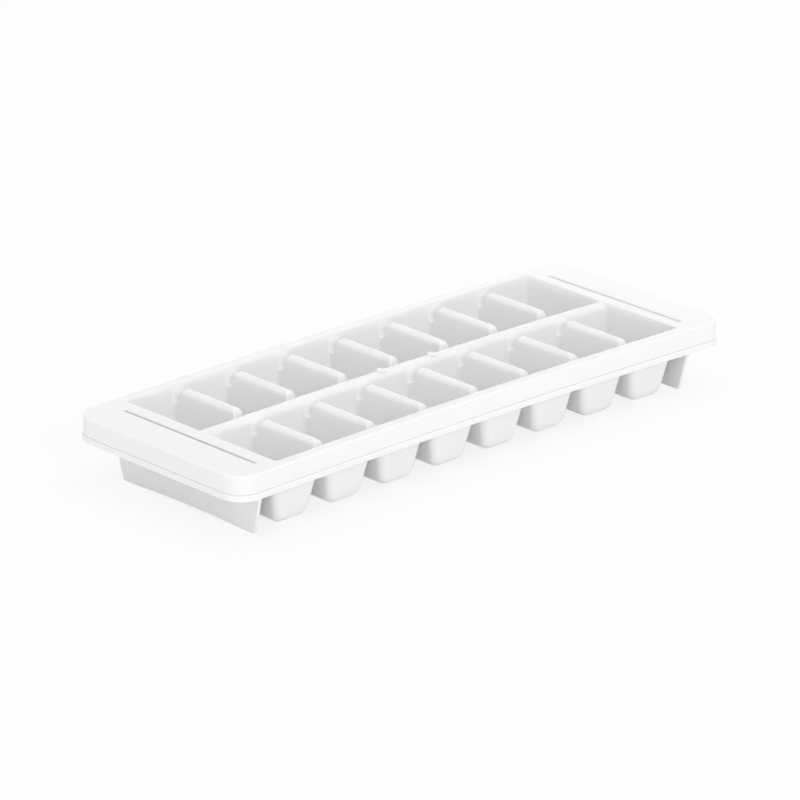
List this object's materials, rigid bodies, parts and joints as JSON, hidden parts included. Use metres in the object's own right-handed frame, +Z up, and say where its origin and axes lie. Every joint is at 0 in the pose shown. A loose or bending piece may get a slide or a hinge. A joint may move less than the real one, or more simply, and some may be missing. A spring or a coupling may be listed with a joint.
{
  "type": "ice cube tray",
  "caption": "Plastic ice cube tray with rows of tapered cells, notched dividers that let water flow between cells, wide end grips and stacking legs with matching slots.",
  "frame": {"origin": "on the floor, under the middle of the tray", "axes": "+X along the tray, towards the right grip; +Y across it, towards the back row; +Z up, out of the cells' mouths"},
  "size_m": [0.305, 0.1144, 0.0345],
  "materials": {
    "plastic": "satin white moulded plastic"
  },
  "bodies": {
    "root": {"front_cell_1": "plastic", "front_cell_2": "plastic", "front_cell_3": "plastic", "front_cell_4": "plastic", "front_cell_5": "plastic", "front_cell_6": "plastic", "front_cell_7": "plastic", "front_cell_8": "plastic", "back_cell_1": "plastic", "back_cell_2": "plastic", "back_cell_3": "plastic", "back_cell_4": "plastic", "back_cell_5": "plastic", "back_cell_6": "plastic", "back_cell_7": "plastic", "back_cell_8": "plastic", "front_rim": "plastic", "back_rim": "plastic", "left_grip": "plastic", "right_grip": "plastic", "left_leg": "plastic", "right_leg": "plastic", "gate_marks": "plastic"}
  },
  "joints": []
}
